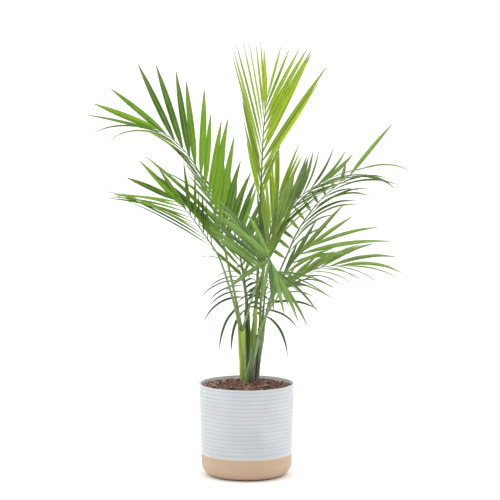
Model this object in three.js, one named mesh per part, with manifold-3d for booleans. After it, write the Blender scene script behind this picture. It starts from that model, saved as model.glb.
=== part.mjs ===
// Potted palm: a clump of young feather palms in a round two-tone planter.
//
// Millimetres, +Z up. The origin is the middle of the planter's underside, and the side the plant
// is looked at from is -Y. Every piece is a closed solid of its own: the planter, the soil that
// fills it, five stems of wrapped leaf sheaths that stand in holes in the soil, and one solid for
// each frond, whose stalk stands in a socket in the top of its stem.

import * as THREE from "three";
import { mergeVertices } from "three/addons/utils/BufferGeometryUtils.js";
import Module from "manifold-3d";

const wasm = await Module();
wasm.setup();

// ---------------------------------------------------------------- driving dimensions

const POT = {
  height: 245,
  rimRadius: 127,
  shoulderRadius: 120.5, // where the rounded foot meets the wall
  shoulderHeight: 34,
  footRadius: 88,
  footSteps: 5,
  wall: 5,
  floor: 8,
  lip: 3,
  lipBevel: 0.8,
  sides: 24,
  ribs: { count: 17, pitch: 10.65, depth: 1.3, topGroove: 239.4 },
};

const SOIL = { edgeHeight: 234, crown: 11, footInset: 2, rings: 4, sides: 24, gap: 0.4 };

// The low relief of bark pieces on the soil: two crossed waves, in turns round the pot and in
// radians for each millimetre outwards.
const BARK = { height: 1.6, around: [5, 3], outwards: [0.31, 0.17] };

const STEM = { depthInSoil: 44, sides: 12, rings: 4, gap: 0.4 };

const STALK = {
  sides: 6,
  baseRadius: 3.8,
  tipRadius: 0.9,
  taper: 1.3,
  step: 42,
  fewestSteps: 10,
  tension: 0.5, // of the smooth line through its places
  socketDepth: 12,
  socketGap: 0.35,
};

// A leaflet's stations along its length, with its width at each as a share of the widest, and the
// height of its folded middle. It ends in a point.
const LEAFLET = {
  stations: [0, 0.2, 0.46, 0.74, 1],
  widths: [0.2, 0.86, 1, 0.64, 0],
  ridge: [1.3, 1.6, 1.5, 1.1, 0],
  lastOnStalk: 0.995,
  rootOut: 0.5, // how far out its root lies in the stalk, as a share of the stalk's radius
  stagger: 0.45, // how much later the right one of a pair leaves the stalk, in pairs
  leastWidth: 0.5, // of a very short one, as a share of the frond's widest
  sag: { atRoot: 0.6, gain: 1.5 }, // it gives way more towards its tip
  clearance: 0.45,
  ownClearance: 0.1,
};

// How far chance changes a leaflet, either way: degrees, or shares of its length and hang.
const CHANCE = { open: 2, lift: 2.5, roll: 7, length: 0.11, hang: 0.2 };

// The turns that a leaflet may make to stay clear of other leaves: degrees that it opens from its
// stalk, degrees that it lifts off the frond's plane, and the share of its length that is kept.
const TURNS = [
  [0, 0, 1],
  [0, 5, 1],
  [0, -5, 1],
  [3, 0, 1],
  [-3, 0, 1],
  [0, 10, 1],
  [0, -10, 1],
  [5, 8, 1],
  [-5, -8, 1],
  [5, -8, 1],
  [-5, 8, 1],
  [0, 16, 1],
  [0, -16, 1],
  [9, 0, 1],
  [9, 14, 1],
  [9, -14, 1],
  [0, 24, 0.95],
  [0, -24, 0.95],
  [0, 0, 0.8],
  [4, 12, 0.8],
  [4, -12, 0.8],
  [0, 32, 0.7],
  [0, -32, 0.7],
  [0, 0, 0.55],
];

// Each stem: its foot in the soil, its top, and its radius at both. Its stalks stand round the
// middle of its top, `spread` from it.
const STEMS = {
  left: { foot: [-11, 20, 245], top: [-14, 18, 376], radius: [5.6, 9.6], spread: 4.9 },
  front: { foot: [-2, -8, 243], top: [29, -12, 364], radius: [5.6, 9], spread: 4.3 },
  back: { foot: [6, 46, 245], top: [4, 50, 420], radius: [7, 9.6], spread: 5 },
  middle: { foot: [13, 26, 246], top: [21, 33, 430], radius: [7, 9.8], spread: 4.9 },
  right: { foot: [26, 53, 246], top: [38, 56, 370], radius: [5.6, 9.8], spread: 4.9 },
};

// Each frond: the stem that it grows from and the side of the stem's top that it leaves (degrees
// from +X), the places that its stalk passes, the way its upper face looks at its foot and tip,
// where along the stalk its leaflets start, how many pairs it has, and its widest leaflet.
// `left` and `right` are the leaflets on the two sides of the stalk, seen from the upper face with
// the tip up: how long they are, how far they open from the stalk, how they lift off the frond's
// plane, how they are rolled about their own length, and how much they hang. Each is one number, or
// a list of its values at even places from the first leaflets to the last. Angles are in degrees.
const FRONDS = {
  frond_spire: {
    stem: "middle",
    leaves: -60,
    path: [
      [28, 34, 502], [33, 42, 622], [37, 50, 728], [41, 56, 834], [46, 62, 926], [54, 68, 1000],
    ],
    faces: [[0.1, -1, 0.1], [0.2, -1, 0.15]],
    bare: 0.53,
    pairs: 12,
    width: 14,
    left: {
      length: [161, 187, 221, 281, 282, 297, 298, 215, 245, 227, 162, 119],
      open: [10, 12, 12, 15, 20, 17, 15, 17, 11, 11, 11, 11],
      lift: 8,
      roll: [-40, -46, -54, -62, -64, -62, -20],
      hang: 0.02,
    },
    right: {
      length: [133, 79, 166, 248, 335, 260, 256, 238, 262, 202, 171, 129],
      open: [17, 21, 18, 28, 32, 24, 25, 24, 26, 20, 16, 7],
      lift: 8,
      roll: [-50, -50, -44, -44, -24, -20, -30, -40, -54, -58],
      hang: 0.03,
    },
  },
  frond_back: {
    stem: "middle",
    leaves: 60,
    path: [[48, 84, 558], [68, 108, 655], [86, 130, 738]],
    faces: [[0, -1, 0.3], [0, -1, 0.4]],
    bare: 0.37,
    pairs: 10,
    width: 12,
    left: {
      length: [150, 175, 140],
      open: [15, 17, 9],
      lift: 5,
      roll: -52,
      hang: 0.01,
    },
    right: {
      length: [150, 175, 140],
      open: [15, 17, 9],
      lift: 5,
      roll: -45,
      hang: 0.01,
    },
  },
  frond_left_high: {
    stem: "left",
    leaves: 100,
    path: [
      [-24, 24, 442], [-41, 22, 523], [-62, 18, 616], [-89, 10, 710], [-115, 4, 785],
      [-146, -4, 841], [-188, -14, 889], [-237, -24, 923],
    ],
    faces: [[0.3, -0.85, 0.3], [0.25, -0.85, 0.45]],
    bare: 0.38,
    pairs: 14,
    width: 16,
    left: {
      length: [225, 250, 270, 249, 163, 135, 130, 130, 137, 144, 180, 230, 236, 227],
      open: [24, 28, 30, 30, 22, 12, 11, 11, 11, 10, 10, 11, 15, 23],
      lift: 5,
      roll: [-20, -20, -30, -50, -78, -80, -80, -80, -80, -80, -80, -80, -60, -34],
      hang: [0.05, 0.05, 0.06, 0.08, 0.3, 0.09, 0.09, 0.1, 0.1, 0.1, 0.28, 0.7, 0.1, 0],
    },
    right: {
      length: [241, 199, 252, 221, 242, 187, 159, 246, 234, 240, 255, 203, 181, 202],
      open: [29, 33, 27, 24, 26, 29, 26, 30, 27, 32, 29, 28, 3, -13],
      lift: 6,
      roll: [-30, -18],
      hang: [0.2, 0.03, 0.03, 0.03],
    },
  },
  frond_left_low: {
    stem: "left",
    leaves: 220,
    path: [
      [-30, 4, 445], [-47, -4, 507], [-73, -14, 583], [-104, -24, 634], [-138, -36, 683],
      [-166, -48, 719], [-189, -56, 740],
    ],
    faces: [[0.4, -0.8, 0.4], [0.35, -0.75, 0.55]],
    bare: 0.6,
    pairs: 9,
    width: 13,
    left: {
      length: [290, 300, 275, 240, 180],
      open: [22, 26, 30, 34, 26],
      lift: 4,
      roll: [-62, -62, -60, -50, -30],
      hang: [0.08, 0.08, 0.08, 0.1],
    },
    right: {
      length: [94, 100, 105, 99, 107, 167, 141, 143, 148],
      open: [30, 34, 36, 38, 40, 32, 10, -1, -13],
      lift: 4,
      roll: [-100, -100, -100, -100, -95, -90, -80, -30, -25],
      hang: 0.04,
    },
  },
  frond_right_high: {
    stem: "right",
    leaves: 220,
    path: [
      [38, 44, 461], [46, 42, 541], [57, 38, 601], [86, 34, 665], [115, 30, 708],
      [147, 25, 743], [183, 20, 768], [222, 16, 790],
    ],
    faces: [[-0.4, -0.8, 0.3], [-0.3, -0.85, 0.45]],
    bare: 0.36,
    pairs: 14,
    width: 12,
    left: {
      length: [120, 140, 150, 150, 150, 150, 150, 150, 140, 150, 130, 150, 90, 90],
      open: [20, 24, 26, 28, 20, 14, 14, 14, 14, 22, 26, 16, 4, 22],
      lift: 6,
      roll: [-30, -40, -60, -60, -50, -36, -36, -36, -60, -88, -92, -92, -60, -40],
      hang: [-0.1, -0.1, -0.1, -0.1, -0.1, -0.1, -0.1, -0.2, -0.3, -0.4, -0.4, -0.4, -0.1, -0.1],
    },
    right: {
      length: [180, 170, 110],
      open: [15, 12, 9],
      lift: 4,
      roll: -60,
      hang: 0.12,
    },
  },
  frond_right_arching: {
    stem: "right",
    leaves: -20,
    path: [
      [60, 60, 453], [81, 68, 517], [108, 70, 579], [132, 68, 635], [164, 66, 686],
      [201, 60, 732], [243, 54, 770], [288, 46, 806],
    ],
    faces: [[-0.5, -0.7, 0.5], [-0.4, -0.7, 0.6]],
    bare: 0.42,
    pairs: 11,
    width: 14,
    left: {
      length: [80, 76, 74, 70, 60, 49, 36, 30, 22, 80, 292],
      open: [84, 83, 82, 80, 78, 76, 74, 68, 62, 34, 4],
      lift: 4,
      roll: -15,
      hang: 0.02,
    },
    right: {
      length: [138, 150, 180, 190, 191, 188, 97, 222, 134, 143, 151],
      open: [18, 17, 15, 15, 12, 19, 16, 19, 3, 26, 18],
      lift: -2,
      roll: -40,
      hang: 0.38,
    },
  },
  frond_right_middle: {
    stem: "front",
    leaves: 60,
    path: [
      [50, -6, 425], [67, -12, 468], [91, -18, 517], [114, -26, 560], [140, -36, 593],
      [166, -46, 615],
    ],
    faces: [[-0.3, -0.6, 0.7], [-0.2, -0.5, 0.85]],
    bare: 0.42,
    pairs: 6,
    width: 10.5,
    left: {
      length: [60, 70, 100, 180, 181, 129],
      open: [8, 8, 8, 6, 3, -2],
      lift: 4,
      roll: [-62, -62, -62, -50, -45, -50],
      hang: 0.04,
    },
    right: {
      length: [134, 143, 165, 209, 321, 207],
      open: [39, 39, 35, 42, 37, 21],
      lift: 0,
      roll: [-50, 40, 60],
      hang: 0.1,
    },
  },
  frond_right_low: {
    stem: "front",
    leaves: -120,
    path: [
      [44, -30, 414], [67, -44, 460], [98, -62, 503], [137, -84, 538], [178, -106, 562],
      [217, -124, 572], [254, -142, 574],
    ],
    faces: [[-0.3, -0.3, 0.85], [-0.1, -0.35, 0.9]],
    bare: 0.38,
    pairs: 9,
    width: 9,
    left: {
      length: [100, 105, 136, 146, 138, 156, 174, 187, 129],
      open: [15, 12, 14, 24, 12, 23, 53, 9, 38],
      lift: 6,
      roll: [-66, -66, -50],
      hang: [0.1, 0.16, 0.3],
    },
    right: {
      length: [154, 160, 170, 181, 188, 188, 106, 159, 162],
      open: [36, 34, 31, 29, 26, 21, 18, 8, -6],
      lift: -10,
      roll: -42,
      hang: 0.24,
    },
  },
  frond_facing: {
    stem: "left",
    leaves: -20,
    path: [
      [0, 4, 418], [12, -14, 462], [27, -34, 508], [43, -66, 552], [53, -108, 584],
      [58, -150, 600], [60, -190, 596],
    ],
    faces: [[0.5, -0.5, 0.7], [0.6, -0.2, 0.75]],
    bare: 0.55,
    pairs: 10,
    width: 12,
    left: {
      length: [234, 220, 208, 223, 229, 214, 164, 175, 154, 84],
      open: [59, 55, 61, 65, 74, 63, 53, 48, 42, 42],
      lift: [34, 31, 17, 2, -21, -22, -34, -40, -52, -89],
      roll: [-50, -62, -66],
      hang: 0.2,
    },
    right: {
      length: [135, 156, 163, 193, 192, 221, 246, 169, 163, 173],
      open: [89, 78, 83, 75, 72, 60, 48, 71, 132, 51],
      lift: [-21, -14, -16, -13, -11, -3, 5, 21, 25, -61],
      roll: [-95, -95, -92, -90, -85, -85, -82, -74, -52, -30],
      hang: 0.1,
    },
  },
  frond_behind_left: {
    stem: "back",
    leaves: 200,
    path: [[-2, 56, 464], [-8, 74, 500], [-16, 100, 526], [-26, 126, 538]],
    faces: [[0.2, -0.6, 0.75], [0.2, -0.4, 0.9]],
    bare: 0.17,
    pairs: 9,
    width: 8,
    left: {
      length: [142, 154, 135, 104, 105, 122, 88, 81, 238],
      open: [119, 106, 74, 76, 79, 76, 76, 45, 0],
      lift: [-35, -33, -21, -11, -12, -11, -12, 0, 18],
      roll: -20,
      hang: [1.8, 1.2, 0.7, 0.5, 0.7, 0.5, 0.4, 0.6, 0.05],
    },
    right: {
      length: [70, 110, 90, 120, 100],
      open: [44, 52, 40, 46, 30],
      lift: [-20, -4, -16, -8],
      roll: -20,
      hang: [1.2, 0.6, 1, 0.5, 0.4],
    },
  },
  frond_behind_right: {
    stem: "right",
    leaves: 100,
    path: [[42, 68, 402], [46, 84, 440], [50, 104, 472], [57, 128, 492], [66, 152, 500]],
    faces: [[-0.2, -0.6, 0.75], [-0.2, -0.4, 0.9]],
    bare: 0.3,
    pairs: 9,
    width: 8,
    left: {
      length: [80, 120, 90, 120, 100],
      open: [40, 52, 44, 48, 30],
      lift: [-16, -4, -16, -8],
      roll: -20,
      hang: [1.2, 0.6, 1, 0.5, 0.4],
    },
    right: {
      length: [172, 87, 164, 166, 148, 120, 120, 110, 100],
      open: [108, 93, 71, 70, 52, 50, 50, 50, 50],
      lift: [-35, -27, -16, -17, -16, -16, -12, -12, -10],
      roll: -20,
      hang: [1.6, 0.6, 0.35, 0.2, 0.3, 0.4, 0.4, 0.4, 0.3],
    },
  },
  frond_behind_high: {
    stem: "back",
    leaves: 100,
    path: [[-6, 94, 504], [-20, 136, 580], [-42, 184, 656], [-66, 232, 712]],
    faces: [[0.2, -0.8, 0.5], [0.3, -0.7, 0.6]],
    bare: 0.329,
    pairs: 11,
    width: 13,
    left: {
      length: [170, 190, 150],
      open: [34, 30, 14],
      lift: 4,
      roll: -25,
      hang: 0.06,
    },
    right: {
      length: [170, 190, 150],
      open: [34, 30, 14],
      lift: 4,
      roll: -25,
      hang: 0.06,
    },
  },
};

const COLOURS = {
  glaze: { color: 0xdadfe2, roughness: 0.45 },
  soil: { color: 0x5a3d30, roughness: 0.95 },
  stem: { color: 0x6d7d3f, roughness: 0.6 },
  leaf: { color: 0x5c9a2c, roughness: 0.5 },
  youngLeaf: { color: 0x9cc32b, roughness: 0.5 },
  shadedLeaf: { color: 0x4c7a3a, roughness: 0.55 },
};

const YOUNG_FRONDS = ["frond_spire", "frond_back"];
const SHADED_FRONDS = ["frond_behind_left", "frond_behind_right", "frond_behind_high"];
const WELD = 1e-4; // points closer than this are one
const FIRST_SEED = 101; // the first frond's seed, which goes up by one for each frond after it

// ---------------------------------------------------------------- small tools

const DOWN = new THREE.Vector3(0, 0, -1);
const vector = (p) => new THREE.Vector3(...p);
const radians = (degrees) => (degrees * Math.PI) / 180;
const mix = (a, b, share) => a + (b - a) * share;

// A repeatable stream of numbers from 0 to 1.
function randomFrom(seed) {
  let state = seed >>> 0;
  return () => {
    state = (state + 0x6d2b79f5) >>> 0;
    let t = Math.imul(state ^ (state >>> 15), state | 1);
    t ^= t + Math.imul(t ^ (t >>> 7), t | 61);
    return ((t ^ (t >>> 14)) >>> 0) / 4294967296;
  };
}

// A closed surface through rings with the same number of points. The last ring may be one point.
function skin(rings) {
  const sides = rings[0].length;
  const faces = [];
  for (let k = 1; k < sides - 1; k++) faces.push(0, k + 1, k);
  for (let r = 0; r + 1 < rings.length; r++) {
    const here = r * sides;
    const next = here + sides;
    const closesInPoint = rings[r + 1].length === 1;
    for (let k = 0; k < sides; k++) {
      const after = (k + 1) % sides;
      if (closesInPoint) faces.push(here + k, here + after, next);
      else faces.push(here + k, here + after, next + after, here + k, next + after, next + k);
    }
  }
  const end = (rings.length - 1) * sides;
  const endsFlat = rings.at(-1).length > 1;
  for (let k = 1; endsFlat && k < sides - 1; k++) faces.push(end, end + k, end + k + 1);
  return new THREE.BufferGeometry().setFromPoints(rings.flat()).setIndex(faces);
}

function solidFrom(geometry) {
  const bare = geometry.clone();
  bare.deleteAttribute("normal");
  bare.deleteAttribute("uv");
  const merged = mergeVertices(bare, WELD);
  return new wasm.Manifold(
    new wasm.Mesh({
      numProp: 3,
      vertProperties: merged.attributes.position.array,
      triVerts: new Uint32Array(merged.index.array),
    }),
  );
}

function geometryFrom(solid) {
  const mesh = solid.getMesh();
  return new THREE.BufferGeometry()
    .setAttribute("position", new THREE.BufferAttribute(new Float32Array(mesh.vertProperties), 3))
    .setIndex(new THREE.BufferAttribute(new Uint32Array(mesh.triVerts), 1));
}

const plant = new THREE.Group();

function addPiece(name, geometry, finish) {
  const mesh = new THREE.Mesh(geometry, new THREE.MeshStandardMaterial({ ...finish, metalness: 0 }));
  mesh.name = name;
  plant.add(mesh);
}

// A many-sided bar along a line of places, with its radius at each. `spare` makes it fatter and
// longer all round.
function bar(places, radii, sides, spare = 0) {
  const last = places.length - 1;
  const rings = places.map((at, i) => {
    const before = places[Math.max(i - 1, 0)];
    const after = places[Math.min(i + 1, last)];
    const ahead = new THREE.Vector3().subVectors(after, before).normalize();
    const across = new THREE.Vector3(0, 1, 0).cross(ahead).normalize();
    const up = new THREE.Vector3().crossVectors(ahead, across);
    const middle = at.clone();
    if (i === 0) middle.addScaledVector(ahead, -spare);
    if (i === last) middle.addScaledVector(ahead, spare);
    const radius = radii[i] + spare;
    return Array.from({ length: sides }, (_, k) => {
      const angle = (2 * Math.PI * k) / sides;
      return middle
        .clone()
        .addScaledVector(across, radius * Math.cos(angle))
        .addScaledVector(up, radius * Math.sin(angle));
    });
  });
  return solidFrom(skin(rings));
}

// ---------------------------------------------------------------- planter

function wallRadius(height) {
  const share = (height - POT.shoulderHeight) / (POT.height - POT.shoulderHeight);
  return mix(POT.shoulderRadius, POT.rimRadius, share);
}

// A turned shell: a flat underside, a quarter-round foot, a ribbed wall and a thin lip.
function planter() {
  const outline = [[0, 0]];
  for (let i = 0; i <= POT.footSteps; i++) {
    const turn = (Math.PI / 2) * (i / POT.footSteps);
    const reach = (POT.shoulderRadius - POT.footRadius) * Math.sin(turn);
    outline.push([POT.footRadius + reach, POT.shoulderHeight * (1 - Math.cos(turn))]);
  }
  const { count, pitch, depth, topGroove } = POT.ribs;
  for (let i = count - 1; i >= 0; i--) {
    const groove = topGroove - i * pitch;
    const ridge = groove - pitch / 2;
    outline.push([wallRadius(ridge), ridge], [wallRadius(groove) - depth, groove]);
  }
  const lipFoot = POT.height - POT.lip;
  const inside = POT.rimRadius - POT.wall;
  outline.push([POT.rimRadius, lipFoot], [POT.rimRadius - POT.lipBevel, POT.height]);
  outline.push([inside + POT.lipBevel, POT.height], [inside, lipFoot]);
  outline.push([POT.shoulderRadius - POT.wall, POT.shoulderHeight], [POT.footRadius, POT.floor]);
  outline.push([0, POT.floor]);
  const points = outline.map(([radius, height]) => new THREE.Vector2(radius, height));
  return new THREE.LatheGeometry(points, POT.sides).rotateX(Math.PI / 2);
}

addPiece("planter", geometryFrom(solidFrom(planter())), COLOURS.glaze);

// ---------------------------------------------------------------- stems

function stemSolid(stem, spare = 0) {
  const foot = vector(stem.foot);
  const top = vector(stem.top);
  const rise = new THREE.Vector3().subVectors(top, foot).normalize();
  const buried = foot.clone().addScaledVector(rise, -STEM.depthInSoil);
  const shares = Array.from({ length: STEM.rings }, (_, i) => i / (STEM.rings - 1));
  const places = shares.map((share) => buried.clone().lerp(top, share));
  const radii = shares.map((share) => mix(...stem.radius, share));
  return bar(places, radii, STEM.sides, spare);
}

// ---------------------------------------------------------------- frond stalks

// A stalk's line: up out of its socket, then past its hand-set places.
function stalkCurve(frond) {
  const stem = STEMS[frond.stem];
  const side = radians(frond.leaves);
  const rise = new THREE.Vector3().subVectors(vector(stem.top), vector(stem.foot)).normalize();
  const mouth = vector(stem.top);
  mouth.x += stem.spread * Math.cos(side);
  mouth.y += stem.spread * Math.sin(side);
  const sunk = mouth.clone().addScaledVector(rise, -STALK.socketDepth);
  const out = mouth.clone().addScaledVector(rise, STALK.socketDepth);
  const places = [sunk, out, ...frond.path.map(vector)];
  return new THREE.CatmullRomCurve3(places, false, "catmullrom", STALK.tension);
}

const stalkRadius = (share) => mix(STALK.baseRadius, STALK.tipRadius, share ** STALK.taper);
const stalkSteps = (curve) => Math.max(STALK.fewestSteps, Math.round(curve.getLength() / STALK.step));

function stalkSolid(curve, spare = 0) {
  const steps = stalkSteps(curve);
  const shares = Array.from({ length: steps + 1 }, (_, i) => i / steps);
  const places = shares.map((share) => curve.getPointAt(share));
  return bar(places, shares.map(stalkRadius), STALK.sides, spare);
}

// ---------------------------------------------------------------- leaflets

// A value that is given at even places from a frond's foot to its tip, anywhere between them. One
// number holds all along.
function alongFrond(values, along) {
  if (typeof values === "number") return values;
  const last = values.length - 1;
  const i = Math.min(Math.floor(along * last), last - 1);
  return mix(values[i], values[i + 1], along * last - i);
}

// Where a leaflet leaves its stalk: the place on the stalk's straight steps, the way the stalk runs,
// its side and its upper face.
function budOn(curve, frond, share) {
  const steps = stalkSteps(curve);
  const step = Math.floor(share * steps);
  const at = curve.getPointAt(step / steps);
  at.lerp(curve.getPointAt((step + 1) / steps), share * steps - step);
  const ahead = curve.getTangentAt(share);
  const faces = vector(frond.faces[0]).lerp(vector(frond.faces[1]), share);
  const side = new THREE.Vector3().crossVectors(ahead, faces).normalize();
  const up = new THREE.Vector3().crossVectors(side, ahead).normalize();
  return { at, ahead, side, up, rootOut: LEAFLET.rootOut * stalkRadius(share) };
}

// One leaflet's stations: places along it that sag under its weight, which way is across and up
// there, half its width, and the height of its ridge.
function leafletStations(bud, hand, habit, along, widest, luck, turn) {
  const [moreOpen, moreLift, kept] = turn;
  const open = radians(alongFrond(habit.open, along) + CHANCE.open * luck.open + moreOpen);
  const lift = radians(alongFrond(habit.lift, along) + CHANCE.lift * luck.lift + moreLift);
  const roll = radians(alongFrond(habit.roll, along) + CHANCE.roll * luck.roll);
  const fullLength = alongFrond(habit.length, along);
  const length = fullLength * (1 + CHANCE.length * luck.length) * kept;
  const width = widest * mix(LEAFLET.leastWidth, 1, fullLength / Math.max(...habit.length));
  const outward = bud.side.clone().multiplyScalar(hand * Math.cos(lift));
  outward.addScaledVector(bud.up, Math.sin(lift));
  const ahead = bud.ahead.clone().multiplyScalar(Math.cos(open)).addScaledVector(outward, Math.sin(open));
  ahead.normalize();
  const up = bud.up.clone().addScaledVector(ahead, -bud.up.dot(ahead)).normalize();
  up.applyAxisAngle(ahead, hand * roll);
  const hang = alongFrond(habit.hang, along) * (1 + CHANCE.hang * luck.hang);
  const at = bud.at.clone().addScaledVector(outward, bud.rootOut);
  return LEAFLET.stations.map((share, i) => {
    if (i > 0) {
      const before = LEAFLET.stations[i - 1];
      const pull = LEAFLET.sag.atRoot + LEAFLET.sag.gain * (share + before);
      ahead.addScaledVector(DOWN, hang * (share - before) * pull).normalize();
      up.addScaledVector(ahead, -up.dot(ahead)).normalize();
      at.addScaledVector(ahead, length * (share - before));
    }
    const across = new THREE.Vector3().crossVectors(ahead, up);
    const half = (width * LEAFLET.widths[i]) / 2;
    return { at: at.clone(), across, up: up.clone(), half, ridge: LEAFLET.ridge[i] };
  });
}

// A leaflet is folded down its middle like a low roof. `spare` makes it fatter all round.
function leafletSolid(stations, spare = 0) {
  const rings = stations.map(({ at, across, up, half, ridge }) => {
    if (half === 0 && spare === 0) return [at];
    const under = at.clone().addScaledVector(up, -spare);
    return [
      under.clone().addScaledVector(across, -half - 2 * spare),
      at.clone().addScaledVector(up, ridge + 2 * spare),
      under.clone().addScaledVector(across, half + 2 * spare),
    ];
  });
  return solidFrom(skin(rings));
}

// What leaflets keep clear of: `part` is the stalk or the blade of a frond, or whole.
const obstacles = [];

function boxOf(solid) {
  const { min, max } = solid.boundingBox();
  return new THREE.Box3(vector(min), vector(max));
}

function addObstacle(owner, part, solid) {
  obstacles.push({ owner, part, solid, box: boxOf(solid) });
}

function isClear(solid, others) {
  const box = boxOf(solid);
  return others.every((other) => {
    if (!other.box.intersectsBox(box)) return true;
    const shared = solid.intersect(other.solid);
    const empty = shared.isEmpty();
    shared.delete();
    return empty;
  });
}

// One leaflet, turned by the first of TURNS that keeps it clear of all else. Where none does, it may
// cross leaflets of its own frond, which it is then fused to, and else there is no leaflet.
function leaflet(name, frond, bud, hand, along, luck) {
  const habit = hand < 0 ? frond.left : frond.right;
  const others = obstacles.filter((other) => other.owner !== name);
  const siblings = obstacles.filter((other) => other.owner === name && other.part === "blade");
  let secondBest = null;
  for (const turn of TURNS) {
    const stations = leafletStations(bud, hand, habit, along, frond.width, luck, turn);
    const room = leafletSolid(stations, LEAFLET.clearance);
    const ownRoom = leafletSolid(stations, LEAFLET.ownClearance);
    const clearOfOthers = isClear(room, others);
    const clear = clearOfOthers && isClear(ownRoom, siblings);
    room.delete();
    ownRoom.delete();
    if (clear) return leafletSolid(stations);
    if (clearOfOthers && !secondBest) secondBest = stations;
  }
  return secondBest && leafletSolid(secondBest);
}

// ---------------------------------------------------------------- whole fronds

function frondSolid(name, frond, seed) {
  const random = randomFrom(seed);
  const swing = () => 2 * random() - 1;
  const curve = stalkCurve(frond);
  const pieces = [stalkSolid(curve)];
  for (let i = frond.pairs - 1; i >= 0; i--) {
    for (const hand of [-1, 1]) {
      const stagger = hand < 0 ? 0 : LEAFLET.stagger;
      const along = Math.min((i + stagger) / (frond.pairs - 0.5), 1);
      const luck = { open: swing(), lift: swing(), length: swing(), roll: swing(), hang: swing() };
      const bud = budOn(curve, frond, mix(frond.bare, LEAFLET.lastOnStalk, along));
      const blade = leaflet(name, frond, bud, hand, along, luck);
      if (!blade) continue;
      addObstacle(name, "blade", blade);
      pieces.push(blade);
    }
  }
  return wasm.Manifold.union(pieces);
}

function frondFinish(name) {
  if (YOUNG_FRONDS.includes(name)) return COLOURS.youngLeaf;
  return SHADED_FRONDS.includes(name) ? COLOURS.shadedLeaf : COLOURS.leaf;
}

const stemNames = Object.keys(STEMS);
const frondNames = Object.keys(FRONDS);

for (const key of stemNames) addObstacle(`stem_${key}`, "whole", stemSolid(STEMS[key]));
for (const name of frondNames) addObstacle(name, "stalk", stalkSolid(stalkCurve(FRONDS[name])));

frondNames.forEach((name, i) => {
  addPiece(name, geometryFrom(frondSolid(name, FRONDS[name], FIRST_SEED + i)), frondFinish(name));
});

for (const key of stemNames) {
  let solid = stemSolid(STEMS[key]);
  for (const frond of Object.values(FRONDS)) {
    if (frond.stem === key) solid = solid.subtract(stalkSolid(stalkCurve(frond), STALK.socketGap));
  }
  addPiece(`stem_${key}`, geometryFrom(solid), COLOURS.stem);
}

// ---------------------------------------------------------------- soil

// The soil keeps clear of the wall, whose flat facets lie a little inside its round.
function soilRadius(height) {
  const facetInset = POT.rimRadius * (1 - Math.cos(Math.PI / POT.sides));
  return wallRadius(height) - POT.wall - facetInset - SOIL.gap;
}

// Its top is domed towards the stems, with a low relief of bark pieces.
function soilHeight(radius, angle) {
  const share = radius / soilRadius(SOIL.edgeHeight);
  const [first, second] = BARK.around.map((turns, i) => [turns * angle, BARK.outwards[i] * radius]);
  const bark = Math.sin(first[0] + first[1]) * Math.cos(second[1] - second[0]);
  return SOIL.edgeHeight + SOIL.crown * (1 - share ** 2) + BARK.height * bark * (1 - share ** 6);
}

function soilRing(radius, height) {
  return Array.from({ length: SOIL.sides }, (_, k) => {
    const angle = (2 * Math.PI * k) / SOIL.sides;
    const z = height ?? soilHeight(radius, angle);
    return new THREE.Vector3(radius * Math.cos(angle), radius * Math.sin(angle), z);
  });
}

function soil() {
  const layers = [
    soilRing(POT.footRadius - SOIL.footInset, POT.floor + SOIL.gap),
    soilRing(soilRadius(POT.shoulderHeight), POT.shoulderHeight + SOIL.gap),
  ];
  const edge = soilRadius(SOIL.edgeHeight);
  for (let i = SOIL.rings; i > 0; i--) layers.push(soilRing((edge * i) / SOIL.rings));
  layers.push([new THREE.Vector3(0, 0, soilHeight(0, 0))]);
  let solid = solidFrom(skin(layers));
  for (const key of stemNames) solid = solid.subtract(stemSolid(STEMS[key], STEM.gap));
  return solid;
}

addPiece("soil", geometryFrom(soil()), COLOURS.soil);

export default plant;
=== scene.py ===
# A young clustering feather palm in a round two-tone planter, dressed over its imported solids.
# Metres, +Z up, the planter's underside on z = 0 and the side that is looked at towards -Y.

import math

import bmesh
import bpy
import numpy as np
from mathutils import Matrix, Vector, noise
from mathutils.kdtree import KDTree


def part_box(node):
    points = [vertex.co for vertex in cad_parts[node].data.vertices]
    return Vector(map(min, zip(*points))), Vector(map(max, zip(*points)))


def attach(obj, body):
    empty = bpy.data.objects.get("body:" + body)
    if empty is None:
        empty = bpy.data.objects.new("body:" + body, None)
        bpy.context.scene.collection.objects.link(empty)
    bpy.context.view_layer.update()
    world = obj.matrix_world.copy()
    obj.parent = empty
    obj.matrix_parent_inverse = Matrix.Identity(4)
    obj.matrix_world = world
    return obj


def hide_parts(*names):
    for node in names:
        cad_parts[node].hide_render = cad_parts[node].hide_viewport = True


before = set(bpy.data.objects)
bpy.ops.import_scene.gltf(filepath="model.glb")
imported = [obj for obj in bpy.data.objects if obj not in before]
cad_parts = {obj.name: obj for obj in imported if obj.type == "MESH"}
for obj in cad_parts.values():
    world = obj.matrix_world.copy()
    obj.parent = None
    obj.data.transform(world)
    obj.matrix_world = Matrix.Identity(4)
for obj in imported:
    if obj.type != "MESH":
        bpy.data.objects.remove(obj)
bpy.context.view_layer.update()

# ------------------------------------------------------------------------------- planter
# The planter is stoneware, turned on a wheel with seventeen shallow ribs and a thin lip. Its foot
# is left bare and tan, and the rest is dipped in a white satin glaze that runs on down the inside.
# Painted shade greys the grooves, where the glaze also pools, and inside, the glaze is painted
# lighter than outside, as painted light, and a little darker deeper down, as painted shade.

MM = 0.001
pot_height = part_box("planter")[1].z
rim_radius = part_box("planter")[1].x
shoulder_height = 34 * MM
shoulder_radius = 120.5 * MM
foot_radius = 88 * MM
pot_wall = 5 * MM
pot_floor = 8 * MM
rib_count = 17
rib_pitch = 10.65 * MM
rib_depth = 1.9 * MM
top_groove = 239.4 * MM
glaze_edge = 58 * MM
glaze_thickness = 0.35 * MM
pot_steps = 192
inside_radius = rim_radius - pot_wall

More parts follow.
